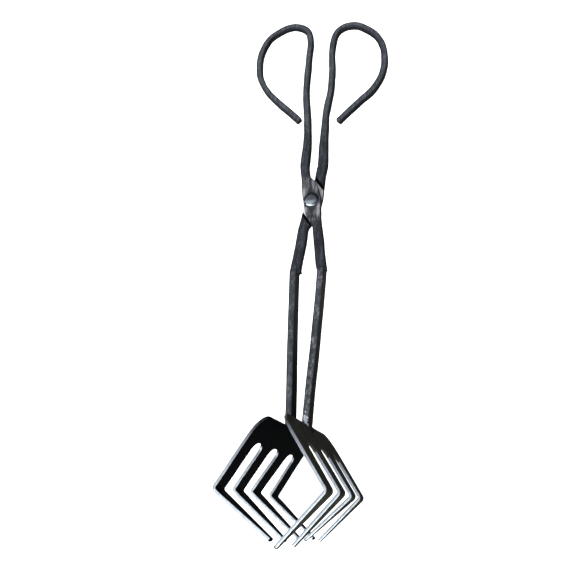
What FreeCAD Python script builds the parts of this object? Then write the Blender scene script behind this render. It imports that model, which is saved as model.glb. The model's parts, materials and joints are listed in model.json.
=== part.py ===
import FreeCAD, Part
import math
import os
from collections import namedtuple

# Fork-clawed fire tongs: two crossed arms on one rivet, lying on the side edges of the
# claws. Everything is drawn in millimetres about the pivot: X to the right, Y towards the
# hand loops, Z along the rivet towards its domed head. The whole tool is moved at the end,
# so that its origin is the bottom centre of its box.

Vector = FreeCAD.Vector
UP = Vector(0, 0, 1)

# Arms, forged from square bar
arm_thickness = 7.4       # measured along the rivet
arm_level = 2.2           # each arm's middle plane stands this far from the pivot plane
rein_width = 8.0          # at the loops
lower_arm_width = 11.4    # at the knee
rod_corner = 2.0
boss_extra_width = 12.0   # what the flattened boss adds to the width
boss_half_length = 26.5
boss_gap = 0.1            # each boss face stands this far from the pivot plane
pocket_clearance = 0.7
open_angle = 45.0

# Jaw bars
bar_side = 9.0
bar_corner = 0.9
knee_y = -92.0
bar_end_y = -269.0

# Claws
plate = 3.0
tine_width = 23.0         # at the elbow
tip_width = 5.0           # the lower limbs narrow evenly to this
tine_pitch = 51.5
tine_count = 4
claw_width = (tine_count - 1) * tine_pitch + tine_width
slot_start = 27.0         # from the claw's top edge to the end of a slot
slot_start_width = 25.0   # the slots widen a little towards the elbow
slot_corner = 9.0
shoulder_radius = 22.0
elbow_radius = 3.5        # of the plate's middle surface

# Rivet
shank_radius = 4.0
running_clearance = 0.05  # between the shank and the back arm's bore
head_radius = 9.2
head_rim = 0.8
head_height = 4.2
tail_radius = 7.6
tail_rim = 1.0
tail_height = 3.0
tail_gap = 0.2            # under the tail, so that the back arm turns freely

# Welds
knee_bead_width = 1.9
knee_bead_length = 4.0
claw_bead_leg = 3.0
claw_bead_length = 4.0
claw_bead_start = 0.8     # below the claw's top edge

# An arm's middle lines in plan. Its spine runs from the top of the rein down to the knee,
# and its loop runs from there round the hand to the free end, with a bend radius at each
# corner on the way. Its bar runs from the knee to the claw, and its claw line follows the
# plate's middle surface. Its opening says which way the other arm turns as the tongs open.
Arm = namedtuple("Arm", "level opening bore spine loop bends bar claw_line")

front = Arm(
    level=arm_level,
    opening=-1,
    bore=shank_radius,
    spine=[(-16.1, 165), (-11.6, 117), (-10.3, 93), (-10.3, 74), (-11.4, 52),
           (-8.8, 30), (0, 0), (8.0, -35), (15.3, knee_y)],
    loop=[(-16.1, 165), (-14.2, 283), (-62, 283), (-86.5, 261), (-87.5, 213), (-76, 182), (-22.8, 119.7)],
    bends=[24, 38, 28, 55, 60],
    bar=[(16.3, knee_y), (7.8, bar_end_y)],
    claw_line=[(6.9, -264.8), (51.2, -330.4), (6.6, -378.8)])

back = Arm(
    level=-arm_level,
    opening=1,
    bore=shank_radius + running_clearance,
    spine=[(16.0, 165), (10.7, 122), (10.2, 98), (10.0, 74), (9.3, 50),
           (6.5, 30), (0, 0), (-9.4, -35), (-17.1, knee_y)],
    loop=[(16.0, 165), (15.5, 270), (51, 270), (84.5, 238), (87, 181), (70, 152), (27.3, 113.6)],
    bends=[19, 50, 45, 32, 45],
    bar=[(-17.9, knee_y), (-11.4, bar_end_y)],
    claw_line=[(-10.6, -266.7), (-54.2, -333.3), (-1.6, -375.4)])


def point(place, z=0.0):
    return Vector(place[0], place[1], z)


def unit(start, end):
    return (point(end) - point(start)).normalize()


def sideways(direction):
    """The direction turned a quarter turn to the left, in plan."""
    return Vector(-direction.y, direction.x, 0)


def closed(places):
    """A closed wire of straight lines."""
    return Part.makePolygon(places + places[:1])


def prism(outline, low, high):
    """A closed wire in plan, raised from one level to another."""
    face = Part.Face(outline)
    face.translate(UP * low)
    return face.extrude(UP * (high - low))


def quarter_arc(corner, to_start, to_end, radius):
    """The arc that rounds a square corner, between its two sides' directions."""
    middle = corner + (to_start + to_end) * (radius * (1 - math.sqrt(0.5)))
    return Part.Arc(corner + to_start * radius, middle, corner + to_end * radius).toShape()


def rounded_path(corners, radii, z):
    """Straight runs through the corners, joined by tangent arcs."""
    places = [point(corner, z) for corner in corners]
    edges = []
    start = places[0]
    for before, corner, after, radius in zip(places, places[1:], places[2:], radii):
        to_before = (before - corner).normalize()
        to_after = (after - corner).normalize()
        half_angle = to_before.getAngle(to_after) / 2
        reach = radius / math.tan(half_angle)
        bisector = (to_before + to_after).normalize()
        middle = corner + bisector * (radius / math.sin(half_angle) - radius)
        edges.append(Part.LineSegment(start, corner + to_before * reach).toShape())
        edges.append(Part.Arc(corner + to_before * reach, middle, corner + to_after * reach).toShape())
        start = corner + to_after * reach
    edges.append(Part.LineSegment(start, places[-1]).toShape())
    return Part.Wire(edges)


def rounded_section(ring, radius):
    """A rectangle with its four corners rounded."""
    edges = []
    for index, here in enumerate(ring):
        following = ring[(index + 1) % 4]
        to_before = (ring[index - 1] - here).normalize()
        to_after = (following - here).normalize()
        edges.append(quarter_arc(here, to_before, to_after, radius))
        edges.append(Part.LineSegment(here + to_after * radius, following - to_after * radius).toShape())
    return Part.Wire(edges)


def swept(path, across, along_z, corner):
    """A rectangular bar, with rounded corners or square ones, swept along a path in plan."""
    start = path.Edges[0].Vertexes[0].Point
    direction = path.Edges[0].tangentAt(path.Edges[0].FirstParameter)
    side = sideways(direction) * (across / 2)
    lift = UP * (along_z / 2)
    ring = [start - side - lift, start + side - lift, start + side + lift, start - side + lift]
    section = rounded_section(ring, corner) if corner > 0 else closed(ring)
    return path.makePipeShell([section], True, True)


def half_space(through, direction):
    """A large block that lies on the far side of a plane, along the direction."""
    reach = 200.0
    side = sideways(direction) * reach
    lift = UP * reach
    ring = [through - side - lift, through + side - lift, through + side + lift, through - side + lift]
    return Part.Face(closed(ring)).extrude(direction * (2 * reach))


def arm_width(y):
    """The rein widens down to the knee, with the flattened boss added at the pivot."""
    top_y = front.spine[0][1]
    share = (top_y - y) / (top_y - knee_y)
    plain = rein_width + (lower_arm_width - rein_width) * share ** 0.6
    return plain + boss_extra_width * math.exp(-(abs(y) / boss_half_length) ** 4)


def arm_plan(spine, grow=0.0):
    """The outline of an arm seen along the rivet, grown all round by a clearance."""
    middle_line = Part.BSplineCurve()
    middle_line.interpolate([point(place) for place in spine])
    span = middle_line.LastParameter - middle_line.FirstParameter
    stations = 36
    left = []
    right = []
    for station in range(stations + 1):
        parameter = middle_line.FirstParameter + span * station / stations
        middle = middle_line.value(parameter)
        side = sideways(middle_line.tangent(parameter)[0].normalize())
        half = arm_width(middle.y) / 2 + grow
        left.append(middle - side * half)
        right.append(middle + side * half)
    edges = []
    for line in (left, right):
        edge = Part.BSplineCurve()
        edge.interpolate(line)
        edges.append(edge.toShape())
    top = Part.LineSegment(left[0], right[0]).toShape()
    bottom = Part.LineSegment(left[-1], right[-1]).toShape()
    return Part.Wire([top, edges[1], bottom, edges[0]])


def knee_plane(arm):
    """The mitre between the lower arm and the jaw bar, 1 mm above the end of the spine."""
    down_arm = unit(arm.spine[-2], arm.spine[-1])
    down_bar = unit(*arm.bar)
    return point(arm.spine[-1]) - down_arm, (down_arm + down_bar).normalize()


def rein(arm, other):
    """One forged arm: hand loop, rein, boss and lower arm, down to the knee."""
    low = arm.level - arm_thickness / 2
    high = arm.level + arm_thickness / 2
    loop_rod = swept(rounded_path(arm.loop, arm.bends, arm.level), rein_width, arm_thickness, rod_corner)
    body = prism(arm_plan(arm.spine), low, high).fuse(loop_rod)
    if arm.level > 0:
        pocket = prism(arm_plan(other.spine, pocket_clearance), low - 1, boss_gap)
    else:
        pocket = prism(arm_plan(other.spine, pocket_clearance), -boss_gap, high + 1)
    pocket_positions = 4
    for position in range(pocket_positions):
        turned = pocket.copy()
        turned.rotate(Vector(0, 0, 0), UP, arm.opening * open_angle * position / (pocket_positions - 1))
        body = body.cut(turned)
    body = body.cut(Part.makeCylinder(arm.bore, 4 * arm_thickness, UP * (-2 * arm_thickness)))
    return body.cut(half_space(*knee_plane(arm))).removeSplitter()


def jaw_bar(arm, claw_plate):
    """The square bar from the knee to the claw, with its foot notched over the plate."""
    overlap = 10.0        # drawn past the knee, then cut at the mitre
    top, foot = arm.bar
    start = point(top, arm.level) - unit(top, foot) * overlap
    line = Part.Wire(Part.LineSegment(start, point(foot, arm.level)).toShape())
    bar = swept(line, bar_side, bar_side, bar_corner)
    return bar.common(half_space(*knee_plane(arm))).cut(claw_plate)


def claw(arm):
    """A slotted plate bent once across its tines, which narrow to their tips."""
    plate_body = swept(rounded_path(arm.claw_line, [elbow_radius], arm.level), plate, claw_width, 0)
    middles = [arm.level + (tine - (tine_count - 1) / 2) * tine_pitch for tine in range(tine_count)]
    for below, above in zip(middles, middles[1:]):
        plate_body = plate_body.cut(slot_cutter(arm, (below + above) / 2))
        plate_body = plate_body.cut(taper_cutter(arm, below, above))
    plate_body = plate_body.cut(taper_cutter(arm, None, middles[0]))
    plate_body = plate_body.cut(taper_cutter(arm, middles[-1], None))
    for end in (-1, 1):
        plate_body = plate_body.cut(shoulder_cutter(arm, end))
    return plate_body


def slot_cutter(arm, middle_z):
    """A long slot with a rounded upper end, through the plate and out past its tips."""
    far = 300.0
    start_half = slot_start_width / 2
    elbow_half = (tine_pitch - tine_width) / 2
    down = unit(arm.claw_line[0], arm.claw_line[1])
    start = point(arm.claw_line[0], middle_z) + down * slot_start
    elbow = point(arm.claw_line[1], middle_z)
    lower_corner = start - UP * start_half
    upper_corner = start + UP * start_half
    lower_arc = quarter_arc(lower_corner, down, UP, slot_corner)
    upper_arc = quarter_arc(upper_corner, UP * -1, down, slot_corner)
    upper_side = [upper_corner + down * slot_corner, elbow + UP * elbow_half, elbow + UP * elbow_half + down * far]
    lower_side = [elbow - UP * elbow_half + down * far, elbow - UP * elbow_half, lower_corner + down * slot_corner]
    outline = upper_side + lower_side
    edges = [lower_arc,
             Part.LineSegment(lower_corner + UP * slot_corner, upper_corner - UP * slot_corner).toShape(),
             upper_arc]
    for here, following in zip(outline, outline[1:]):
        edges.append(Part.LineSegment(here, following).toShape())
    face = Part.Face(Part.Wire(edges))
    face.translate(sideways(down) * -far)
    return face.extrude(sideways(down) * (2 * far))


def taper_cutter(arm, below, above):
    """What the lower limb loses between two narrowing tines, or outside the last one."""
    past_tip = 1.1
    outside = 20.0
    half_depth = 4.0
    elbow, tip = arm.claw_line[1:]
    on = unit(elbow, tip)
    reach = on * ((point(tip) - point(elbow)).Length * past_tip)
    narrowing = (tine_width - tip_width) / 2 * past_tip
    if below is None:
        high = above - tine_width / 2
        low = high - outside
        low_end, high_end = low, high + narrowing
    elif above is None:
        low = below + tine_width / 2
        high = low + outside
        low_end, high_end = low - narrowing, high
    else:
        low = below + tine_width / 2
        high = above - tine_width / 2
        low_end, high_end = low - narrowing, high + narrowing
    face = Part.Face(closed([point(elbow, low), point(elbow, low_end) + reach,
                             point(elbow, high_end) + reach, point(elbow, high)]))
    face.translate(sideways(on) * -half_depth)
    return face.extrude(sideways(on) * (2 * half_depth))


def shoulder_cutter(arm, end):
    """What one upper corner of the plate loses so that its shoulder is round."""
    outside = 5.0
    half_depth = 20.0
    down = unit(arm.claw_line[0], arm.claw_line[1])
    inward = UP * -end
    corner = point(arm.claw_line[0], arm.level + end * claw_width / 2)
    top_end = corner + inward * shoulder_radius
    side_end = corner + down * shoulder_radius
    ring = [side_end, side_end - inward * outside, corner - (inward + down) * outside,
            top_end - down * outside, top_end]
    edges = [quarter_arc(corner, inward, down, shoulder_radius)]
    for here, following in zip(ring, ring[1:]):
        edges.append(Part.LineSegment(here, following).toShape())
    face = Part.Face(Part.Wire(edges))
    face.translate(sideways(down) * -half_depth)
    return face.extrude(sideways(down) * (2 * half_depth))


def knee_weld(arm):
    """The filler in the inner step, where the wide lower arm meets the narrower bar."""
    top, foot = arm.bar
    down = unit(top, foot)
    through, mitre = knee_plane(arm)
    inward = sideways(down) if sideways(down).x * top[0] < 0 else sideways(down) * -1
    edge = point(top) + inward * (bar_side / 2)
    root = edge + down * ((through - edge).dot(mitre) / down.dot(mitre))
    along_step = sideways(mitre) if sideways(mitre).dot(inward) > 0 else sideways(mitre) * -1
    wedge = [root, root + along_step * knee_bead_width, root + down * knee_bead_length]
    half_height = bar_side / 2 - bar_corner
    return prism(closed(wedge), arm.level - half_height, arm.level + half_height)


def claw_weld(arm):
    """A fillet bead on each side of the bar's foot, along the claw's outer face."""
    down = unit(arm.claw_line[0], arm.claw_line[1])
    outward = sideways(down)
    if outward.x * arm.claw_line[1][0] < 0:
        outward = outward * -1
    start = point(arm.claw_line[0], arm.level) + outward * (plate / 2) + down * claw_bead_start
    beads = []
    for side in (-1, 1):
        root = start + UP * (side * bar_side / 2)
        ring = [root, root + outward * claw_bead_leg, root + UP * (side * claw_bead_leg)]
        beads.append(Part.Face(closed(ring)).extrude(down * claw_bead_length))
    return Part.makeCompound(beads)


def dome(radius, rim, height):
    """A round button: a short straight rim under a spherical cap."""
    cap = height - rim
    sphere_radius = (radius ** 2 + cap ** 2) / (2 * cap)
    half_angle = math.asin(radius / sphere_radius) / 2
    halfway = Vector(sphere_radius * math.sin(half_angle), 0,
                     height - sphere_radius * (1 - math.cos(half_angle)))
    foot = Vector(0, 0, 0)
    foot_edge = Vector(radius, 0, 0)
    rim_edge = Vector(radius, 0, rim)
    top = Vector(0, 0, height)
    edges = [Part.LineSegment(foot, foot_edge).toShape(),
             Part.LineSegment(foot_edge, rim_edge).toShape(),
             Part.Arc(rim_edge, halfway, top).toShape(),
             Part.LineSegment(top, foot).toShape()]
    return Part.Face(Part.Wire(edges)).revolve(foot, UP, 360)


def pivot_rivet():
    """Domed head, shank and hammered tail, turned about the pivot axis."""
    seat = arm_level + arm_thickness / 2
    tail_seat = -seat - tail_gap
    head = dome(head_radius, head_rim, head_height)
    head.translate(UP * seat)
    tail = dome(tail_radius, tail_rim, tail_height)
    tail.rotate(Vector(0, 0, 0), Vector(1, 0, 0), 180)
    tail.translate(UP * tail_seat)
    shank = Part.makeCylinder(shank_radius, seat - tail_seat, UP * tail_seat)
    return shank.fuse([head, tail]).removeSplitter()


def tongs():
    right_claw = claw(front)
    left_claw = claw(back)
    return {
        "front_rein": rein(front, back),
        "back_rein": rein(back, front),
        "front_jaw_bar": jaw_bar(front, right_claw),
        "back_jaw_bar": jaw_bar(back, left_claw),
        "front_knee_weld": knee_weld(front),
        "back_knee_weld": knee_weld(back),
        "right_claw": right_claw,
        "left_claw": left_claw,
        "right_claw_weld": claw_weld(front),
        "left_claw_weld": claw_weld(back),
        "pivot_rivet": pivot_rivet(),
    }


pieces = tongs()
box = Part.makeCompound(list(pieces.values())).optimalBoundingBox(False, False)
origin = Vector(box.Center.x, box.Center.y, box.ZMin)
os.makedirs("parts", exist_ok=True)
for name, piece in pieces.items():
    piece.translate(origin * -1)
    piece.exportStep(f"parts/{name}.step")
    print(name, "valid", piece.isValid(), "solids", len(piece.Solids), "volume", round(piece.Volume))
print("pivot", -origin.x, -origin.y, -origin.z)
print("size", box.XLength, box.YLength, box.ZLength)
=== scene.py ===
import json
import math

import bmesh
import bpy
import numpy as np
from mathutils import Matrix, Vector, noise
from mathutils.geometry import delaunay_2d_cdt


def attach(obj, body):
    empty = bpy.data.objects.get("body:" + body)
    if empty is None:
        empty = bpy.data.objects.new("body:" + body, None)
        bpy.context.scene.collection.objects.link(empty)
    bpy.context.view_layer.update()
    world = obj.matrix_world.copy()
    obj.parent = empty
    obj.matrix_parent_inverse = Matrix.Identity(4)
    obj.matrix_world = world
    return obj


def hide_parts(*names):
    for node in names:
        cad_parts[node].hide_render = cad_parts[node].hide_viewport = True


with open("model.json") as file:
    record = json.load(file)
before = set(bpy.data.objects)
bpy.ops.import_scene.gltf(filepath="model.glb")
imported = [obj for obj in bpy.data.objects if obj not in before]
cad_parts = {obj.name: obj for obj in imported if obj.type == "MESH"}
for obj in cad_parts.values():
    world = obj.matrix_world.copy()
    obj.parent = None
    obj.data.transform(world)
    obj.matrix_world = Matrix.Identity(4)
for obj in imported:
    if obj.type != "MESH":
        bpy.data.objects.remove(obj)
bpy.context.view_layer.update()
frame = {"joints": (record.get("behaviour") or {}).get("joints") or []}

# Fork-clawed fire tongs. Shapes are drawn in millimetres about the pivot, as a smith would
# measure them: X to the right, Y towards the hand loops, Z along the rivet towards its
# domed head. place() carries them into the frame.

MM = 0.001
PIVOT = Vector(frame["joints"][0]["pos_m"])

# Arms
ARM_THICKNESS = 7.4
ARM_LEVEL = 2.2            # each arm's middle stands this far from the pivot plane
ROD_WIDTH = 8.2
ROD_CORNER = 1.4
FLAT_CORNER = 0.9          # of the flattened part
END_ROUND = 0.9            # how far the ends of an arm are drawn in
LAP_GAP = 0.1              # each boss stops this far from the pivot plane
LAP_MARGIN = 3.4           # below, the front arm's lap reaches this far past the back arm's edge
LAP_SLOPE = 1.3            # width of the step at the lap's border
LAP_REACH = 60.0           # no lap is farther from the pivot than this
STEP_UPPER = ((3.4, 32.8), (15.1, 17.0))      # the back arm's lap ends in a step along these lines
STEP_LOWER = ((-0.6, -33.4), (-13.2, -15.4))
STATION = 0.8              # distance between cross-sections

# Jaw bars, and their middle lines in plan from the knee to the foot
BAR_SIDE = 9.0
RIGHT_BAR_SIDE = 8.7
BAR_CORNER = 0.8
RIGHT_BAR_LINE = [(15.7, -88), (14.7, -122), (13.3, -150), (11.4, -189), (9.0, -226), (7.2, -268)]
LEFT_BAR_LINE = [(-18.4, -88), (-16.5, -148), (-15.1, -187), (-13.3, -225), (-11.9, -268)]

# Claws
RIGHT_CLAW_TOP = (6.9, -264.8)
LEFT_CLAW_TOP = (-10.6, -266.7)
PLATE = 3.0
SLOT_START = 27.0          # from the claw's top edge to the end of a slot
SLOT_CORNER = 9.0          # the slots' ends are round
SHOULDER = 22.0            # radius of the web's two outer corners
ELBOW_RADIUS = 3.5         # of the bend, at the plate's middle
TAPER_ROUND = 6.0          # softens the place where a tine begins to taper
TIP_CORNER = 0.8
CUT_BEVEL = 0.5
OUTLINE_STEP = 0.9         # distance between the outline's points, and from them to the grid
TIP_CLEARANCE = 1.2

# Rivet
HEAD_RADIUS = 9.2
HEAD_HEIGHT = 4.2
HEAD_RIM = 0.7
HEAD_SHIFT = (-0.5, 0.7)   # hammered a little off centre
SHANK_RADIUS = 4.0
TAIL_RADIUS = 7.6
TAIL_HEIGHT = 3.0
TAIL_GAP = 0.2

# Camera
EYE = (177.6, -350.0, 585.4)
EYE_AZIMUTH = 40.04        # degrees
EYE_ELEVATION = 61.8
EYE_ROLL = 39.76
SENSOR = 36.0
LENS = 36.125

# Edges of the flattened part of each arm, as (y, left edge, right edge) from the knee up.
FRONT_EDGES = [(-92, 10.3, 21.9), (-88, 9.3, 21.2), (-76, 7.5, 19.2), (-60, 5.5, 17.0),
               (-44, 3.3, 14.9), (-36, 2.2, 13.6), (-29, -1.6, 12.6), (-20, -6.4, 11.4),
               (-10, -8.9, 11.2), (0, -11.0, 10.8), (11, -13.0, 8.4), (19, -14.0, 6.0),
               (24, -14.3, 4.2), (29, -14.6, 0.4), (33, -15.0, -3.3), (42, -16.4, -5.4),
               (52, -17.3, -6.4), (63, -16.9, -5.7), (74, -16.1, -5.3), (93, -15.4, -5.8),
               (117, -16.4, -7.4), (135, -18.0, -9.3), (150, -19.5, -10.9), (165, -20.6, -12.2)]
BACK_EDGES = [(-91.6, -23.3, -9.6), (-87, -22.8, -10.4), (-76, -21.3, -9.2), (-60, -19.3, -7.0),
              (-44, -17.6, -5.2), (-36, -16.6, -4.6), (-29, -15.0, -0.6), (-20, -13.1, 5.5),
              (-10, -12.0, 8.7), (0, -11.0, 11.0), (11, -8.9, 12.1), (19, -5.4, 12.7),
              (24, -3.0, 13.0), (29, -0.2, 13.3), (34, 1.2, 13.5), (42, 2.3, 14.5),
              (52, 3.7, 15.7), (63, 3.9, 15.8), (74, 4.0, 15.6), (88, 4.6, 15.1), (100, 5.3, 14.9),
              (126, 6.7, 14.7), (138, 7.4, 16.4), (150, 9.2, 18.0), (165, 11.6, 20.1)]

# Each tine's elbow and tip in plan, and its upper and lower edge where it leaves the web
# (root), at the elbow (bend) and at the tip (point), as heights; uppermost tine first.
RIGHT_TINES = [
    {"elbow": (51.9, -330.6), "tip": (6.7, -378.5),
     "root": (90.3, 61.0), "bend": (89.6, 64.5), "point": (80.5, 73.5)},
    {"elbow": (51.9, -329.9), "tip": (6.9, -378.6),
     "root": (38.5, 12.0), "bend": (38.6, 15.0), "point": (30.5, 23.5)},
    {"elbow": (51.6, -330.8), "tip": (2.9, -374.9),
     "root": (-13.0, -39.5), "bend": (-14.5, -36.5), "point": (-23.5, -27.5)},
    {"elbow": (51.1, -330.5), "tip": (5.6, -376.2),
     "root": (-59.5, -84.0), "bend": (-61.5, -82.5), "point": (-69.0, -76.0)}]
LEFT_TINES = [
    {"elbow": (-52.7, -334.0), "tip": (2.4, -372.9),
     "root": (84.4, 61.8), "bend": (87.4, 65.6), "point": (79.8, 72.6)},
    {"elbow": (-53.8, -332.6), "tip": (-1.2, -374.9),
     "root": (38.4, 15.7), "bend": (37.4, 14.0), "point": (29.0, 21.8)},
    {"elbow": (-54.6, -332.1), "tip": (-3.3, -373.7),
     "root": (-11.4, -38.8), "bend": (-12.8, -38.2), "point": (-21.7, -29.3)},
    {"elbow": (-52.5, -333.5), "tip": (-1.5, -374.8),
     "root": (-67.2, -90.7), "bend": (-65.6, -90.6), "point": (-74.0, -81.5)}]

# Middle lines of the hand loops, from the top of the rein round to the free end.
FRONT_LOOP = [(-16.4, 165), (-16.1, 185), (-15.1, 225), (-15.0, 254), (-19.2, 268.4), (-30, 278),
              (-41, 282), (-51, 281.2), (-61, 277.3), (-74.5, 268.5), (-82, 254.5), (-85.8, 240.5),
              (-86.7, 232), (-86.3, 220), (-84.5, 205.6), (-78, 188), (-67.5, 170.6),
              (-52.5, 152.8), (-38, 137), (-22.8, 119.7)]
BACK_LOOP = [(15.9, 165), (16.5, 190), (16.5, 245), (18.9, 257), (23, 264), (31.7, 268.8),
             (42, 269), (51, 266), (60, 259), (69, 250.5), (76.2, 240.6), (80.8, 230.5),
             (84.3, 218), (85.5, 203), (84.8, 189), (81.6, 175.5), (76.7, 164.8), (69.6, 154.3),
             (54.4, 140.6), (40.6, 127.4), (26.9, 114)]


def place(point):
    """A point in millimetres about the pivot, in the frame's metres."""
    return PIVOT + MM * Vector(point)


def blend_in(value, start, end):
    """0 before start, 1 after end, and a smooth rise between."""
    share = np.clip((np.asarray(value, float) - start) / (end - start), 0.0, 1.0)
    return share * share * (3 - 2 * share)


def smooth_table(table, where):
    """Values between a table's rows, by a cubic that never overshoots."""
    table = np.array(table, float)
    x, rows = table[:, 0], table[:, 1:]
    step = np.diff(x)[:, None]
    slope = np.diff(rows, axis=0) / step
    tangent = np.zeros_like(rows)
    tangent[0], tangent[-1] = slope[0], slope[-1]
    same_way = slope[:-1] * slope[1:] > 0
    before, after = step[:-1], step[1:]
    with np.errstate(divide="ignore", invalid="ignore"):
        mean = 3 * (before + after) / ((2 * after + before) / slope[:-1]
                                       + (after + 2 * before) / slope[1:])
    tangent[1:-1] = np.where(same_way, mean, 0.0)
    where = np.atleast_1d(np.asarray(where, float))
    index = np.clip(np.searchsorted(x, where) - 1, 0, len(x) - 2)
    width = np.diff(x)[index][:, None]
    t = ((where - x[index])[:, None]) / width
    low, high = rows[index], rows[index + 1]
    return (low * (1 + 2 * t) * (1 - t) ** 2 + tangent[index] * width * t * (1 - t) ** 2
            + high * t ** 2 * (3 - 2 * t) + tangent[index + 1] * width * t ** 2 * (t - 1))


def smooth_line(points, spacing):
    """A curve through the points, evenly divided."""
    points = np.array(points, float)
    chord = np.concatenate([[0], np.cumsum(np.linalg.norm(np.diff(points, axis=0), axis=1))])
    tangent = np.gradient(points, chord, axis=0)
    fine = np.linspace(0, chord[-1], 40 * len(points))
    index = np.clip(np.searchsorted(chord, fine, side="right") - 1, 0, len(chord) - 2)
    width = np.diff(chord)[index][:, None]
    t = (fine - chord[index])[:, None] / width
    line = (points[index] * (1 + 2 * t) * (1 - t) ** 2 + tangent[index] * width * t * (1 - t) ** 2
            + points[index + 1] * t ** 2 * (3 - 2 * t) + tangent[index + 1] * width * t ** 2 * (t - 1))
    length = np.concatenate([[0], np.cumsum(np.linalg.norm(np.diff(line, axis=0), axis=1))])
    even = np.linspace(0, length[-1], max(2, int(round(length[-1] / spacing)) + 1))
    return np.column_stack([np.interp(even, length, line[:, k]) for k in range(line.shape[1])])


# ---------------------------------------------------------------- meshes

def mesh_piece(name, points, faces, attributes=None):
    """A smooth object from points in millimetres, with outward faces and point attributes."""
    mesh = bpy.data.meshes.new(name)
    mesh.from_pydata([place(p) for p in points], [], faces)
    for label, values in (attributes or {}).items():
        layer = mesh.attributes.new(label, "FLOAT", "POINT")
        layer.data.foreach_set("value", np.asarray(values, np.float32))
    work = bmesh.new()
    work.from_mesh(mesh)
    bmesh.ops.remove_doubles(work, verts=work.verts, dist=0.004 * MM)
    bmesh.ops.recalc_face_normals(work, faces=work.faces)
    work.to_mesh(mesh)
    work.free()
    mesh.polygons.foreach_set("use_smooth", [True] * len(mesh.polygons))
    piece = bpy.data.objects.new(name, mesh)
    bpy.context.scene.collection.objects.link(piece)
    return piece


def roughen(piece, layers):
    """Moves each point along its normal by noise, as (height, wavelength) layers in millimetres."""
    moves = []
    for vertex in piece.data.vertices:
        height = 0.0
        for index, (amplitude, wavelength) in enumerate(layers):
            seat = vertex.co / (wavelength * MM) + Vector((index * 17.3, 5.1, 2.7))
            height += amplitude * noise.noise(seat)
        moves.append(vertex.co + vertex.normal * (height * MM))
    for vertex, moved in zip(piece.data.vertices, moves):
        vertex.co = moved
    piece.data.update()


def section(left, right, low, high, corner, across, upright, round_steps=4):
    """Rounded rectangles for many stations at once, and which of their points are on a corner.

    across and upright are how many points divide the flat sides.
    """
    sides = np.atleast_1d(left, right, low, high, corner)
    left, right, low, high, corner = np.broadcast_arrays(*sides)
    corners = [(right - corner, low + corner, -90, upright),
               (right - corner, high - corner, 0, across),
               (left + corner, high - corner, 90, upright),
               (left + corner, low + corner, 180, across)]
    columns = []
    edge = []
    for index, (x, z, start, between) in enumerate(corners):
        for step in range(round_steps + 1):
            angle = math.radians(start + 90 * step / round_steps)
            columns.append((x + corner * math.cos(angle), z + corner * math.sin(angle)))
            edge.append(1.0)
        next_x, next_z, next_start, _ = corners[(index + 1) % 4]
        turn = math.radians(next_start)
        last = columns[-1]
        following = (next_x + corner * math.cos(turn), next_z + corner * math.sin(turn))
        for step in range(1, between + 1):
            share = step / (between + 1)
            columns.append((last[0] + (following[0] - last[0]) * share,
                            last[1] + (following[1] - last[1]) * share))
            edge.append(0.0)
    ring = np.stack([np.stack(column, axis=-1) for column in columns], axis=1)
    return ring, np.array(edge)


def skin(rings):
    """Quads between neighbouring rings, with a flat face on each end."""
    stations, around = rings.shape[:2]
    faces = []
    for i in range(stations - 1):
        for k in range(around):
            following = (k + 1) % around
            faces.append((i * around + k, i * around + following,
                          (i + 1) * around + following, (i + 1) * around + k))
    faces.append(tuple(range(around)))
    faces.append(tuple(range((stations - 1) * around, stations * around)))
    return faces


def inside_share(edges, x, y, margin, slope):
    """1 inside an arm's outline grown by a margin, falling to 0 over the slope beyond it."""
    low_y, high_y = edges[0][0], edges[-1][0]
    bounds = smooth_table(edges, np.clip(y.ravel(), low_y, high_y))
    left, right = bounds[:, 0].reshape(y.shape), bounds[:, 1].reshape(y.shape)
    beyond = np.maximum(left - x, x - right)
    return 1 - blend_in(beyond, margin, margin + slope)


def beyond_line(line, x, y):
    """How far each place lies on the pivot's side of a line."""
    (x0, y0), (x1, y1) = line
    length = math.hypot(x1 - x0, y1 - y0)
    return ((x1 - x0) * (y0 - y) - (y1 - y0) * (x0 - x)) / length


# ---------------------------------------------------------------- arms

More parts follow.
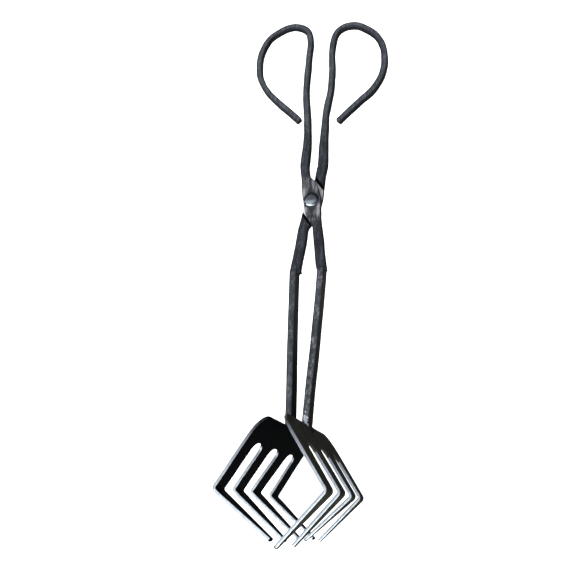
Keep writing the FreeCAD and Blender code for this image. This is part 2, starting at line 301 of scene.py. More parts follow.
def arm(name, edges, loop, level, other_edges, marks):
    """One forged arm: knee, flattened boss with its lap, rein and hand loop."""
    ys = np.arange(edges[0][0], edges[-1][0] + 0.01, STATION)
    bounds = smooth_table(edges, ys)
    rod_line = smooth_line(loop, STATION)[1:]
    line = np.vstack([np.column_stack([bounds.mean(axis=1), ys]), rod_line])
    flat_half = np.diff(bounds, axis=1)[:, 0] / 2
    half = np.concatenate([flat_half, np.full(len(rod_line), ROD_WIDTH / 2)])
    tangent = np.gradient(line, axis=0)
    tangent /= np.linalg.norm(tangent, axis=1)[:, None]
    square_on = np.column_stack([tangent[:, 1], -tangent[:, 0]])
    # The sections lie along X on the boss, and turn square to the rod up the rein.
    up = np.concatenate([ys, np.full(len(rod_line), edges[-1][0])])
    turned = blend_in(up, 100, 160)[:, None]
    normal = (1 - turned) * np.array([1.0, 0.0]) + turned * square_on
    normal /= np.linalg.norm(normal, axis=1)[:, None]

    stations = len(line)
    low = np.full(stations, level - ARM_THICKNESS / 2)
    high = np.full(stations, level + ARM_THICKNESS / 2)
    rod_share = blend_in(up, 60, 150)
    corner = FLAT_CORNER + (ROD_CORNER - FLAT_CORNER) * rod_share
    # The hammer leaves the rod a little uneven.
    side = 1.0 if level > 0 else -1.0
    uneven = np.array([noise.noise(Vector((k * STATION / 34.0, side * 7.0, 0.0)))
                       for k in range(stations)])
    half = half + 0.28 * uneven * rod_share
    ring, _ = section(-half, half, low, high, corner, across=14, upright=5)
    ring[0] *= 1 - END_ROUND / half[0]
    for station, share in ((-1, 1.0), (-2, 0.35)):
        middle = ring[station].mean(axis=0)
        ring[station] = middle + (ring[station] - middle) * (1 - share * END_ROUND / half[-1])

    x = line[:, None, 0] + normal[:, None, 0] * ring[:, :, 0]
    y = line[:, None, 1] + normal[:, None, 1] * ring[:, :, 0]
    z = ring[:, :, 1]
    if level > 0:
        lap = inside_share(other_edges, x, y, LAP_MARGIN, LAP_SLOPE) * (np.abs(y) < LAP_REACH)
        z = np.where(z < LAP_GAP, z + (LAP_GAP - z) * lap, z)
        upper = z > level + ARM_THICKNESS / 2 - 0.5
    else:
        depth = np.minimum(beyond_line(STEP_UPPER, x, y), beyond_line(STEP_LOWER, x, y))
        lap = blend_in(depth, 0.0, LAP_SLOPE)
        z = np.where(z > -LAP_GAP, z + (-LAP_GAP - z) * lap, z)
        upper = z > -1.0
    points = np.stack([x, y, z], axis=-1).reshape(-1, 3)
    attributes = marks(x, y, upper)
    inset = np.minimum(half[:, None] + ring[:, :, 0], half[:, None] - ring[:, :, 0] - 0.5)
    below_top = level + ARM_THICKNESS / 2 - ring[:, :, 1]
    # Painted shade: marks the side walls below the top face and the rounded corners, which the overhead
    # light hardly reaches.
    attributes["rim"] = np.maximum(1 - blend_in(inset, 0.3, 2.8), blend_in(below_top, 0.2, 1.6))
    attributes = {label: np.asarray(values, float).reshape(-1)
                  for label, values in attributes.items()}
    piece = mesh_piece(name, points, skin(ring), attributes)
    roughen(piece, [(0.34, 15.0), (0.12, 4.5)])
    return piece


def wedge(x, y, apex, base_left, base_right, base_y):
    """1 inside a triangle that stands on a line across the arm, with a soft border."""
    rise = (y - base_y) / (apex[1] - base_y)
    left = base_left + (apex[0] - base_left) * rise
    right = base_right + (apex[0] - base_right) * rise
    inside = np.minimum(x - left, right - x)
    return blend_in(inside, -1.6, 2.2) * blend_in(rise, -0.35, 0.05) * (1 - blend_in(rise, 0.7, 1.3))


def patch(x, y, left, right, low, high):
    """1 inside a box; each side is given as the two places between which it fades."""
    across = blend_in(x, *left) * (1 - blend_in(x, *right))
    return across * blend_in(y, *low) * (1 - blend_in(y, *high))


def front_marks(x, y, upper):
    """The front boss: ground bare above, dark wedge marks, painted shade in a ring round the rivet's
    head, and painted highlights on facets near its edges.
    """
    bare = blend_in(y, -34, -20) * (1 - blend_in(y, 24, 38)) * upper
    upper_wedge = wedge(x, y, (-1.6, 28.0), -7.4, 2.6, 6.0)
    lower_wedge = wedge(x, y, (0.4, -23.0), -4.8, 6.4, -8.0)
    # Painted shade: a dark ring round the rivet's head, as cast by the head.
    ring = 1 - blend_in(np.hypot(x - 0.7, y + 1.2), HEAD_RADIUS + 0.2, HEAD_RADIUS + 2.6)
    dark = np.maximum(np.maximum(upper_wedge, lower_wedge), 0.55 * ring)
    # Painted highlights: patches near the boss's edges where ground facets catch the light.
    glint_patches = [patch(x, y, (-13.2, -11.4), (-9.6, -7.6), (2, 9), (14, 22)),
            patch(x, y, (6.0, 8.2), (10.0, 11.4), (-25, -17), (-8, -3)),
            patch(x, y, (-9.6, -8.2), (-6.2, -4.6), (-19, -14), (-10.5, -8))]
    shine = 0.3 * np.maximum.reduce(glint_patches) * upper
    return {"bare": bare, "dark": dark, "step": np.zeros_like(x), "shine": shine}


def back_marks(x, y, upper):
    """The back lap: painted shade in the trench along its step, ground bare beyond it, with a painted
    highlight on the bare part, weaker right of the pivot.
    """
    above = beyond_line(STEP_UPPER, x, y)
    below = beyond_line(STEP_LOWER, x, y)
    step_width = np.where(below < above, 2.6, 3.4)
    depth = np.minimum(above, below)
    past_step = blend_in(depth - step_width, -0.3, 0.4)
    # Painted shade: the step wall and the trench floor beside it.
    step = blend_in(depth, -0.9, 0.1) * (1 - past_step) * upper
    bare = past_step * upper
    # Painted highlight on the bare lap floor, weaker right of the pivot.
    shine = bare * np.where(x > 0, 0.35, 1.0)
    return {"bare": 1.3 * bare, "dark": np.zeros_like(x), "step": step, "shine": shine}


# ---------------------------------------------------------------- jaw bars

def jaw_bar(name, line, level, top_twist, foot_twist, side=BAR_SIDE):
    """A square bar, twisted and a little bowed, from inside the knee to the claw."""
    middle = smooth_line(line, 2.0)
    tangent = np.gradient(middle, axis=0)
    tangent /= np.linalg.norm(tangent, axis=1)[:, None]
    normal = np.column_stack([-tangent[:, 1], tangent[:, 0]])
    share = np.linspace(0, 1, len(middle))
    twist = np.radians(top_twist + (foot_twist - top_twist) * share)
    ring, edge = section(-side / 2, side / 2, -side / 2, side / 2, BAR_CORNER, across=5, upright=5)
    u = ring[0][None, :, 0] * np.cos(twist)[:, None] - ring[0][None, :, 1] * np.sin(twist)[:, None]
    w = ring[0][None, :, 0] * np.sin(twist)[:, None] + ring[0][None, :, 1] * np.cos(twist)[:, None]
    points = np.stack([middle[:, None, 0] + normal[:, None, 0] * u,
                       middle[:, None, 1] + normal[:, None, 1] * u, level + w], axis=-1)
    along = np.broadcast_to(share[:, None], u.shape)
    top_face = np.broadcast_to((ring[0][:, 1] > side / 2 - 0.3) * 1.0, u.shape)
    piece = mesh_piece(name, points.reshape(-1, 3), skin(points),
                       {"edge": np.broadcast_to(edge, u.shape).reshape(-1), "along": along.reshape(-1),
                        "top": top_face.reshape(-1)})
    roughen(piece, [(0.16, 22.0), (0.07, 3.0)])
    return piece


# ---------------------------------------------------------------- claws

def rounded_loop(corners, spacing):
    """A closed outline through (u, v, radius) corners, rounded and evenly divided."""
    places = [Vector(c[:2]) for c in corners]
    outline = []
    for index, (u, v, radius) in enumerate(corners):
        corner = Vector((u, v))
        to_before = (places[index - 1] - corner).normalized()
        to_after = (places[(index + 1) % len(places)] - corner).normalized()
        half_angle = to_before.angle(to_after) / 2
        reach = radius / math.tan(half_angle)
        centre = corner + (to_before + to_after).normalized() * (radius / math.sin(half_angle))
        start = corner + to_before * reach - centre
        end = corner + to_after * reach - centre
        turn = start.angle_signed(end)
        steps = max(2, int(abs(turn) * radius / spacing) + 1)
        for step in range(steps + 1):
            spin = Matrix.Rotation(-turn * step / steps, 2)
            outline.append(centre + spin @ start)
    divided = []
    for here, following in zip(outline, outline[1:] + outline[:1]):
        pieces = max(1, int((following - here).length / spacing))
        divided.extend(here.lerp(following, k / pieces) for k in range(pieces))
    return np.array([tuple(p) for p in divided])


def pull_in(outline, distance):
    """The outline moved inwards, for an anticlockwise loop."""
    ahead = np.roll(outline, -1, axis=0) - np.roll(outline, 1, axis=0)
    ahead /= np.linalg.norm(ahead, axis=1)[:, None]
    return outline + distance * np.column_stack([-ahead[:, 1], ahead[:, 0]])


def bent_path(corners, radius):
    """A line with one rounded bend.

    Gives a function from length along it to position and outward normal, and the lengths at
    which the bend starts, the bend ends and the line ends.
    """
    top, elbow, tip = (Vector(c) for c in corners)
    down = (elbow - top).normalized()
    on = (tip - elbow).normalized()
    turn = down.angle(on)
    reach = radius * math.tan(turn / 2)
    first = (elbow - top).length - reach
    arc = radius * turn
    side = 1.0 if down.x * on.y - down.y * on.x > 0 else -1.0
    total = first + arc + (tip - elbow).length - reach

    def at(u):
        u = np.asarray(u, float)[:, None]
        turned = np.clip((u - first) / radius, 0, turn)
        inward = side * np.array([-down.y, down.x])
        centre = np.array(top) + np.array(down) * first + inward * radius
        straight = np.array(top) + np.array(down) * u
        round_bend = centre + radius * (np.array(down) * np.sin(turned) - inward * np.cos(turned))
        rest = np.array(elbow) + np.array(on) * (u - first - arc + reach)
        where = np.where(u < first, straight, np.where(u < first + arc, round_bend, rest))
        heading = np.array(down) * np.cos(turned) + inward * np.sin(turned)
        outward = -side * np.column_stack([-heading[:, 1], heading[:, 0]])
        return where, outward

    return at, first, first + arc, total


def plate_corners(levels, ends, taper_start):
    """The unbent plate's corners, as (distance from the top edge, height, radius)."""
    highest, lowest = levels["root"][0, 0], levels["root"][-1, 1]
    corners = [(0.0, highest, SHOULDER), (0.0, lowest, SHOULDER)]
    for tine in reversed(range(len(ends))):
        high, low = levels["root"][tine]
        if tine < len(ends) - 1:
            corners.append((SLOT_START, low, SLOT_CORNER))
        corners.append((taper_start, levels["bend"][tine, 1], TAPER_ROUND))
        corners.append((ends[tine], levels["point"][tine, 1], TIP_CORNER))
        corners.append((ends[tine], levels["point"][tine, 0], TIP_CORNER))
        corners.append((taper_start, levels["bend"][tine, 0], TAPER_ROUND))
        if tine > 0:
            corners.append((SLOT_START, high, SLOT_CORNER))
    return corners


def plate_grid(levels, ends, taper_start, rows):
    """Points inside the unbent plate's outline, on rows across it."""
    highest, lowest = levels["root"][0, 0], levels["root"][-1, 1]
    grid = np.array([(u, z) for u in rows for z in np.arange(lowest + 1.3, highest, 2.4)])
    u, z = grid[:, 0], grid[:, 1]
    in_tine = np.zeros(len(grid), bool)
    for tine, end in enumerate(ends):
        stops = (SLOT_START, taper_start, end)
        high, low = (np.interp(u, stops, [rows_of[tine, side] for rows_of in levels.values()])
                     for side in (0, 1))
        in_tine |= (z < high - OUTLINE_STEP) & (z > low + OUTLINE_STEP) & (u < end - TIP_CLEARANCE)
    from_end = np.minimum(highest - z, z - lowest)
    in_web = (u < SLOT_START - TIP_CLEARANCE) & (from_end > OUTLINE_STEP)
    beyond_corner = np.hypot(np.maximum(SHOULDER - u, 0), np.maximum(SHOULDER - from_end, 0))
    return grid[(in_tine | in_web) & (beyond_corner < SHOULDER - OUTLINE_STEP)]


def claw(name, top, tines, taper_from, dark_ends):
    """A slotted plate bent across its tines; each tine is cut and bent a little differently.

    The tines narrow from taper_from past the start of the bend. The slots' round ends get
    painted shade: their cut edges are black, and fade to a bare edge between dark_ends, measured from
    SLOT_START.
    """
    elbows = [tine["elbow"] for tine in tines]
    tips = [tine["tip"] for tine in tines]
    paths = [bent_path([top, elbow, tip], ELBOW_RADIUS) for elbow, tip in zip(elbows, tips)]
    mean_corners = [top, np.mean(elbows, axis=0), np.mean(tips, axis=0)]
    plain, bend_start, bend_end, _ = bent_path(mean_corners, ELBOW_RADIUS)
    ends = np.array([path[3] for path in paths])
    levels = {stop: np.array([tine[stop] for tine in tines]) for stop in ("root", "bend", "point")}
    middles = levels["bend"].mean(axis=1)
    taper_start = bend_start + taper_from
    outline = rounded_loop(plate_corners(levels, ends, taper_start), OUTLINE_STEP)
    inner = pull_in(outline, CUT_BEVEL)

    def tine_of(z):
        return np.argmin(np.abs(z[:, None] - middles[None, :]), axis=1)

    def bent(uz, height):
        where, outward = plain(uz[:, 0])
        own = blend_in(uz[:, 0], SLOT_START - 6, bend_start - 6)[:, None]
        which = tine_of(uz[:, 1])
        for tine, path in enumerate(paths):
            chosen = which == tine
            if chosen.any():
                own_where, own_outward = path[0](uz[chosen, 0])
                where[chosen] += own[chosen] * (own_where - where[chosen])
                outward[chosen] += own[chosen] * (own_outward - outward[chosen])
        outward /= np.linalg.norm(outward, axis=1)[:, None]
        return np.column_stack([where + outward * height, uz[:, 1]])

    # The two faces of the plate, with rows closer together round the bend.
    rows = np.concatenate([np.arange(2.5, bend_start - 3, 3.0),
                           np.linspace(bend_start - 2, bend_end + 2, 14),
                           np.arange(bend_end + 4, max(ends), 3.0)])
    grid = plate_grid(levels, ends, taper_start, rows)
    count = len(inner)
    loop = [(k, (k + 1) % count) for k in range(count)]
    flat_places = [Vector(p) for p in np.vstack([inner, grid])]
    flat, _, triangles, *_ = delaunay_2d_cdt(flat_places, loop, [], 1, 1e-5)
    flat = np.array([tuple(p) for p in flat])
    points = [bent(flat, PLATE / 2), bent(flat, -PLATE / 2)]
    faces = [tuple(t) for t in triangles] + [tuple(k + len(flat) for k in t) for t in triangles]
    cut = [np.zeros(2 * len(flat))]
    across = [np.full(len(flat), 1.0), np.full(len(flat), -1.0)]
    along = [flat[:, 0], flat[:, 0]]

    # The cut edge between them, bevelled above and below.
    slant = 0.29 * CUT_BEVEL
    slanted = pull_in(outline, slant)
    wall = [(inner, PLATE / 2), (slanted, PLATE / 2 - slant), (outline, PLATE / 2 - CUT_BEVEL),
            (outline, 0.0), (outline, -PLATE / 2 + CUT_BEVEL), (slanted, -PLATE / 2 + slant),
            (inner, -PLATE / 2)]
    u, z = outline[:, 0], outline[:, 1]
    at_tip = u > ends[tine_of(z)] - 0.7
    in_slot = np.minimum(levels["root"][0, 0] - z, z - levels["root"][-1, 1]) > 12
    # Painted shade: the cut edges round the slots' ends are left black.
    slot_end_shade = in_slot * (1 - blend_in(u, SLOT_START + dark_ends[0], SLOT_START + dark_ends[1]))
    bevel = 0.3 + 0.4 * blend_in(u, SLOT_START, bend_start)
    base = 2 * len(flat)
    for row, (loop_points, height) in enumerate(wall):
        points.append(bent(loop_points, height))
        bare = bevel if row in (0, len(wall) - 1) else 1.0
        cut.append(np.where(at_tip, 0.0, bare) * (1 - slot_end_shade))
        across.append(np.full(count, 2 * height / PLATE))
        along.append(loop_points[:, 0])
        if row:
            below = base + (row - 1) * count
            above = below + count
            for k in range(count):
                following = (k + 1) % count
                faces.append((below + k, below + following, above + following, above + k))
    along = np.concatenate(along)
    lower = blend_in(along, bend_start - 1, bend_end + 1)
    return mesh_piece(name, np.vstack(points), faces,
                      {"cut": np.concatenate(cut), "across": np.concatenate(across),
                       "lower": lower, "along": along / max(ends)})


# ---------------------------------------------------------------- rivet and welds

def rivet(name):
    """The pivot rivet: hammered dome above, shank, and a rougher tail below."""
    seat = ARM_LEVEL + ARM_THICKNESS / 2
    cap = HEAD_HEIGHT - HEAD_RIM
    ball = (HEAD_RADIUS ** 2 + cap ** 2) / (2 * cap)
    crown = 26
    profile = []
    for step in range(crown + 1):
        angle = math.asin(HEAD_RADIUS / ball) * step / crown
        profile.append((ball * math.sin(angle), seat + HEAD_HEIGHT - ball * (1 - math.cos(angle))))
    profile += [(HEAD_RADIUS, seat + 0.2), (HEAD_RADIUS - 0.35, seat), (SHANK_RADIUS, seat)]
    tail_seat = -seat - TAIL_GAP
    profile += [(SHANK_RADIUS, tail_seat), (TAIL_RADIUS - 0.3, tail_seat),
                (TAIL_RADIUS, tail_seat - 0.3)]
    for step in range(crown + 1):
        angle = math.pi / 2 * step / crown
        profile.append((TAIL_RADIUS * max(0.0, math.cos(angle)) ** 0.8,
                        tail_seat - 0.4 - (TAIL_HEIGHT - 0.4) * math.sin(angle) ** 0.9))
    around = 72
    points = []
    for radius, height in profile:
        for step in range(around):
            turn = 2 * math.pi * step / around
            points.append((radius * math.cos(turn), radius * math.sin(turn), height))
    rings = np.array(points).reshape(len(profile), around, 3)
    rings[:crown + 2, :, :2] += HEAD_SHIFT
    # Painted reflection: -1 on the side towards the loops, 1 on the side towards the claws.
    painted_reflection = -rings[:, :, 1].reshape(-1) / HEAD_RADIUS
    piece = mesh_piece(name, rings.reshape(-1, 3), skin(rings), {"painted_reflection": painted_reflection})
    roughen(piece, [(0.14, 6.0), (0.03, 2.0)])
    return piece


def bead(name, blobs, voxel=0.35):
    """A lumpy weld bead: overlapping squashed balls fused into one skin."""
    work = bmesh.new()
    for centre, size in blobs:
        shape = Matrix.Translation(place(centre)) @ Matrix.Diagonal((*(MM * Vector(size)), 1.0))
        bmesh.ops.create_icosphere(work, subdivisions=3, radius=1.0, matrix=shape)
    mesh = bpy.data.meshes.new(name)
    work.to_mesh(mesh)
    work.free()
    piece = bpy.data.objects.new(name, mesh)
    bpy.context.scene.collection.objects.link(piece)
    remesh = piece.modifiers.new("fuse", "REMESH")
    remesh.mode = "VOXEL"
    remesh.voxel_size = voxel * MM
    relax = piece.modifiers.new("relax", "SMOOTH")
    relax.factor = 0.5
    relax.iterations = 3
    graph = bpy.context.evaluated_depsgraph_get()
    piece.data = bpy.data.meshes.new_from_object(piece.evaluated_get(graph))
    piece.modifiers.clear()
    piece.data.polygons.foreach_set("use_smooth", [True] * len(piece.data.polygons))
    roughen(piece, [(0.18, 1.7)])
    return piece


# ---------------------------------------------------------------- materials

def node(tree, kind, inputs=(), **settings):
    """Adds a shader node; each input is a socket to link or a value to set."""
    made = tree.nodes.new("ShaderNode" + kind)
    for label, value in settings.items():
        setattr(made, label, value)
    for label, value in dict(inputs).items():
        if isinstance(value, bpy.types.NodeSocket):
            tree.links.new(value, made.inputs[label])
        else:
            made.inputs[label].default_value = value
    return made


def new_material(name, **values):
    """A Principled material with its constant values set on the shader."""
    material = bpy.data.materials.new(name)
    material.use_nodes = True
    shader = material.node_tree.nodes["Principled BSDF"]
    for label, value in values.items():
        shader.inputs[label.replace("_", " ")].default_value = value
    return material, material.node_tree, shader


def spread(tree, value, low, high, to_low=0.0, to_high=1.0):
    """A value mapped from one range to another, eased and clamped."""
    ranges = {"Value": value, "From Min": low, "From Max": high, "To Min": to_low, "To Max": to_high}
    return node(tree, "MapRange", ranges, interpolation_type="SMOOTHSTEP").outputs["Result"]


def maths(tree, operation, a, b):
    """Two values combined by one operation."""
    return node(tree, "Math", {0: a, 1: b}, operation=operation).outputs[0]


def mix(tree, share, a, b):
    """A colour between two, by a share."""
    return node(tree, "Mix", {0: share, 6: a, 7: b}, data_type="RGBA").outputs[2]


def times(tree, a, b):
    """Two values multiplied."""
    return maths(tree, "MULTIPLY", a, b)


def rest_of(tree, share):
    """What a share leaves of one."""
    return maths(tree, "SUBTRACT", 1.0, share)


def ragged(tree, value, grain, amount):
    """A value with noise added about its middle, so that its borders break up."""
    return maths(tree, "ADD", value, times(tree, maths(tree, "SUBTRACT", grain, 0.5), amount))


def speckle(tree, scale, detail=3.0, roughness=0.55, vector=None):
    """Noise in the piece's own coordinates."""
    if vector is None:
        vector = node(tree, "TexCoord").outputs["Object"]
    return node(tree, "TexNoise", {"Vector": vector, "Scale": scale, "Detail": detail,
                                   "Roughness": roughness}).outputs["Fac"]


def stretched(tree, factors, turn=0.0):
    """The piece's coordinates, turned about the rivet's direction and stretched, for streaks."""
    own = node(tree, "TexCoord").outputs["Object"]
    return node(tree, "Mapping", {"Vector": own, "Rotation": (0, 0, turn),
                                  "Scale": factors}).outputs["Vector"]


def attribute(tree, name):
    """A value stored on the mesh's points."""
    return node(tree, "Attribute", attribute_name=name).outputs["Fac"]


def bump(tree, height, distance, strength=1.0, normal=None):
    """Relief from a height; distance is in metres, and normal is the relief beneath it."""
    inputs = {"Height": height, "Distance": distance, "Strength": strength}
    if normal is not None:
        inputs["Normal"] = normal
    return node(tree, "Bump", inputs).outputs["Normal"]


def grey(value, tint=(1.0, 1.0, 1.0)):
    """A grey of one value, or a tinted one."""
    return tuple(value * t for t in tint) + (1.0,)


BLUISH = (0.90, 0.97, 1.16)
SCALE_BLUE = (0.88, 0.98, 1.20)
EDGE_BLUE = (0.89, 1.0, 1.11)
GROUND = (0.95, 0.98, 1.06)
BLUE_SHEEN = (0.88, 0.98, 1.16, 1.0)


def forged_material(name):
    """Forge scale on the arms, ground steel where 'bare', dark wedge marks, painted shade round the
    rivet, in the lap's steps and on the side walls, and painted highlights on the ground steel.
    """
    material, tree, shader = new_material(name, Specular_Tint=BLUE_SHEEN)
    own = node(tree, "TexCoord").outputs["Object"]
    y = node(tree, "SeparateXYZ", {"Vector": own}).outputs["Y"]

    # Scale: lighter on the reins and loops; the side walls and corners get painted shade further down.
    rein_y = PIVOT.y + 0.10
    up_rein = spread(tree, y, rein_y - 0.03, rein_y + 0.03)
    streak = speckle(tree, 420.0, 4.0, 0.6, stretched(tree, (1.0, 0.14, 1.0)))
    clumps = spread(tree, speckle(tree, 170.0, 4.0), 0.35, 0.65, 0.35, 1.0)
    patches = times(tree, spread(tree, streak, 0.38, 0.62), clumps)
    scale_low = mix(tree, patches, grey(0.008, SCALE_BLUE), grey(0.058, SCALE_BLUE))
    scale_high = mix(tree, patches, grey(0.040, SCALE_BLUE), grey(0.112, SCALE_BLUE))
    scale = mix(tree, up_rein, scale_low, scale_high)
    flecks = spread(tree, speckle(tree, 1100.0, 3.0), 0.62, 0.72)
    scale = mix(tree, times(tree, flecks, 0.6), scale, grey(0.11, BLUISH))
    # Painted shade: side walls and corners darkened to near black.
    scale = mix(tree, times(tree, attribute(tree, "rim"), 0.85), scale, grey(0.0045, SCALE_BLUE))

    # Ground steel, with slanting grinding lines.
    brush = speckle(tree, 480.0, 5.0, 0.6, stretched(tree, (1.0, 0.2, 1.0), math.radians(35)))
    clouds = spread(tree, speckle(tree, 110.0, 3.0), 0.35, 0.65)
    ground_low = mix(tree, clouds, grey(0.022, GROUND), grey(0.10, GROUND))
    ground = mix(tree, spread(tree, brush, 0.45, 0.62), ground_low, grey(0.22, GROUND))
    # Painted highlight: ground steel turned near white where facets catch the light.
    ground = mix(tree, attribute(tree, "shine"), ground, grey(0.85, GROUND))
    bare = spread(tree, ragged(tree, attribute(tree, "bare"), brush, 1.8), 0.3, 0.9)
    bare = times(tree, bare, spread(tree, attribute(tree, "bare"), 0.0, 0.25))

    # Dark wedge marks together with the painted shade round the rivet.
    marks_and_shade = ragged(tree, attribute(tree, "dark"), speckle(tree, 240.0, 4.0), 0.7)
    dark = times(tree, spread(tree, marks_and_shade, 0.2, 1.05), 0.9)
    bare_clean = times(tree, bare, rest_of(tree, dark))
    colour = mix(tree, bare_clean, scale, ground)
    colour = mix(tree, times(tree, dark, bare), colour, grey(0.022, SCALE_BLUE))
    # Painted shade: the lap's step is painted black and its specular turned down.
    step = attribute(tree, "step")
    colour = mix(tree, step, colour, grey(0.003))
    tree.links.new(colour, shader.inputs["Base Color"])
    tree.links.new(spread(tree, step, 0, 1, 0.3, 0.02), shader.inputs["Specular IOR Level"])
    tree.links.new(spread(tree, bare_clean, 0, 1, 0.15, 0.85), shader.inputs["Metallic"])
    rough = spread(tree, speckle(tree, 120.0), 0.3, 0.7, 0.46, 0.62)
    rough = maths(tree, "SUBTRACT", rough, times(tree, bare_clean, 0.14))
    tree.links.new(rough, shader.inputs["Roughness"])
    coarse = bump(tree, speckle(tree, 420.0, 5.0), 0.00025, 0.35)
    lines = bump(tree, times(tree, brush, bare), 0.0002, 0.5, coarse)
    tree.links.new(lines, shader.inputs["Normal"])
    return material


def bar_material(name, worn):
    """Hot-rolled bar: blue-black scale, rubbed through in grey patches on its upper face; its sides and
    corners carry painted light and shade.
    """
    material, tree, shader = new_material(name, Metallic=0.2, Specular_IOR_Level=0.3,
                                          Specular_Tint=BLUE_SHEEN)
    along = attribute(tree, "along")
    top = attribute(tree, "top")
    streaks = speckle(tree, 190.0, 3.0, 0.5, stretched(tree, (1.0, 0.07, 1.0)))
    streaks = spread(tree, streaks, 0.35, 0.65)
    knee_top = mix(tree, streaks, grey(0.014, SCALE_BLUE), grey(0.034, SCALE_BLUE))
    foot_top = mix(tree, streaks, grey(0.024, SCALE_BLUE), grey(0.048, SCALE_BLUE))
    top_scale = mix(tree, spread(tree, along, 0.3, 0.9), knee_top, foot_top)
    # Painted light and shade: the side faces get their own tone, lightened at the knee where the lamps
    # hardly reach and darkened towards the foot.
    knee_side_painted_light = mix(tree, streaks, grey(0.022 + 0.010 * worn), grey(0.034 + 0.014 * worn))
    foot_side_painted_shade = grey(0.002 + 0.03 * (worn - 0.45))
    side_painted_light = mix(tree, spread(tree, along, 0.2, 0.75), knee_side_painted_light, foot_side_painted_shade)
    scale = mix(tree, top, side_painted_light, top_scale)

    rub = speckle(tree, 420.0, 6.0, 0.65, stretched(tree, (1.0, 0.4, 1.0)))
    patches = speckle(tree, 75.0, 3.0, 0.5, stretched(tree, (0.6, 1.0, 0.6)))
    rubbed = times(tree, spread(tree, rub, 0.42, 0.62), spread(tree, patches, 0.35, 0.58))
    rubbed = times(tree, rubbed, top)
    grain = spread(tree, speckle(tree, 800.0, 3.0), 0.4, 0.62)
    worn_colour = mix(tree, grain, grey(0.07, SCALE_BLUE), grey(0.26, GROUND))
    colour = mix(tree, times(tree, rubbed, worn), scale, worn_colour)
    # Painted shade along the bar's rounded corners.
    colour = mix(tree, spread(tree, attribute(tree, "edge"), 0.2, 1.0, 0.0, 0.6), colour, grey(0.01))
    tree.links.new(colour, shader.inputs["Base Color"])
    tree.links.new(spread(tree, rub, 0.3, 0.7, 0.55, 0.42), shader.inputs["Roughness"])
    tree.links.new(bump(tree, speckle(tree, 500.0, 5.0), 0.0002, 0.4), shader.inputs["Normal"])
    return material


def claw_material(name, face_colour, line_at, corner_value, lower_value):
    """Matt black plate with bare cut edges; the edges' greys are painted reflection, brighter on the
    lower limbs, and the face black is given per claw as painted light.

    A darker line runs along the cut edge at line_at, from -1 at the plate's back to 1 at its
    front. corner_value is the edge's grey at the web's corners and lower_value that of the
    lower limbs; both are painted reflection, set for each claw.
    """
    material, tree, shader = new_material(name, Specular_IOR_Level=0.05)
    chips = spread(tree, speckle(tree, 420.0, 5.0, 0.65), 0.62, 0.74)
    bare = times(tree, spread(tree, attribute(tree, "cut"), 0.5, 0.85), rest_of(tree, chips))
    face = mix(tree, spread(tree, speckle(tree, 70.0, 4.0), 0.3, 0.7), face_colour,
               tuple(c * 0.55 for c in face_colour[:3]) + (1.0,))
    beside_line = maths(tree, "SUBTRACT", attribute(tree, "across"), line_at)
    beside_line = node(tree, "Math", {0: beside_line}, operation="ABSOLUTE").outputs[0]
    off_line = spread(tree, beside_line, 0.1, 0.4)

    along = attribute(tree, "along")
    # Painted reflection: the edge's grey rises along the limbs, and differs at the web's corners and on
    # the lower limbs, as the ground edges catch the light.
    upper_edge = mix(tree, spread(tree, along, 0.2, 0.5), grey(0.33, BLUISH), grey(0.62, EDGE_BLUE))
    corner_edge = mix(tree, spread(tree, along, 0.02, 0.06), grey(corner_value, BLUISH),
                      grey(0.06, BLUISH))
    upper_edge = mix(tree, spread(tree, along, 0.06, 0.26), corner_edge, upper_edge)
    edge = mix(tree, attribute(tree, "lower"), upper_edge, grey(lower_value, EDGE_BLUE))
    edge = mix(tree, times(tree, rest_of(tree, off_line), 0.55), edge, grey(0.16, EDGE_BLUE))
    stains = spread(tree, speckle(tree, 300.0, 4.0), 0.3, 0.8, 0.0, 0.55)
    edge = mix(tree, stains, edge, grey(0.22, EDGE_BLUE))
    tree.links.new(mix(tree, bare, face, edge), shader.inputs["Base Color"])
    tree.links.new(times(tree, bare, 0.85), shader.inputs["Metallic"])
    tree.links.new(spread(tree, bare, 0, 1, 0.6, 0.38), shader.inputs["Roughness"])
    tree.links.new(bump(tree, speckle(tree, 650.0, 4.0), 0.00015, 0.3), shader.inputs["Normal"])
    return material


def rivet_material(name):
    """Hammered rivet: a painted reflection, darker on the side towards the loops and a bright crescent
    on the side towards the claws.
    """
    material, tree, shader = new_material(name, Metallic=0.95)
    patches = spread(tree, speckle(tree, 220.0, 4.0), 0.35, 0.7)
    steel = mix(tree, patches, grey(0.075, SCALE_BLUE), grey(0.12, SCALE_BLUE))
    painted_reflection = attribute(tree, "painted_reflection")
    # Painted reflection: darkened towards the loops, brightened to a crescent towards the claws.
    colour = mix(tree, spread(tree, painted_reflection, -0.9, 0.1, 0.5, 0.0), steel, grey(0.04, SCALE_BLUE))
    colour = mix(tree, spread(tree, painted_reflection, 0.1, 0.55), colour, grey(0.36, EDGE_BLUE))
    tree.links.new(colour, shader.inputs["Base Color"])
    tree.links.new(spread(tree, speckle(tree, 400.0), 0.3, 0.7, 0.15, 0.22), shader.inputs["Roughness"])
    tree.links.new(bump(tree, speckle(tree, 500.0, 3.0), 0.0001, 0.2), shader.inputs["Normal"])
    return material


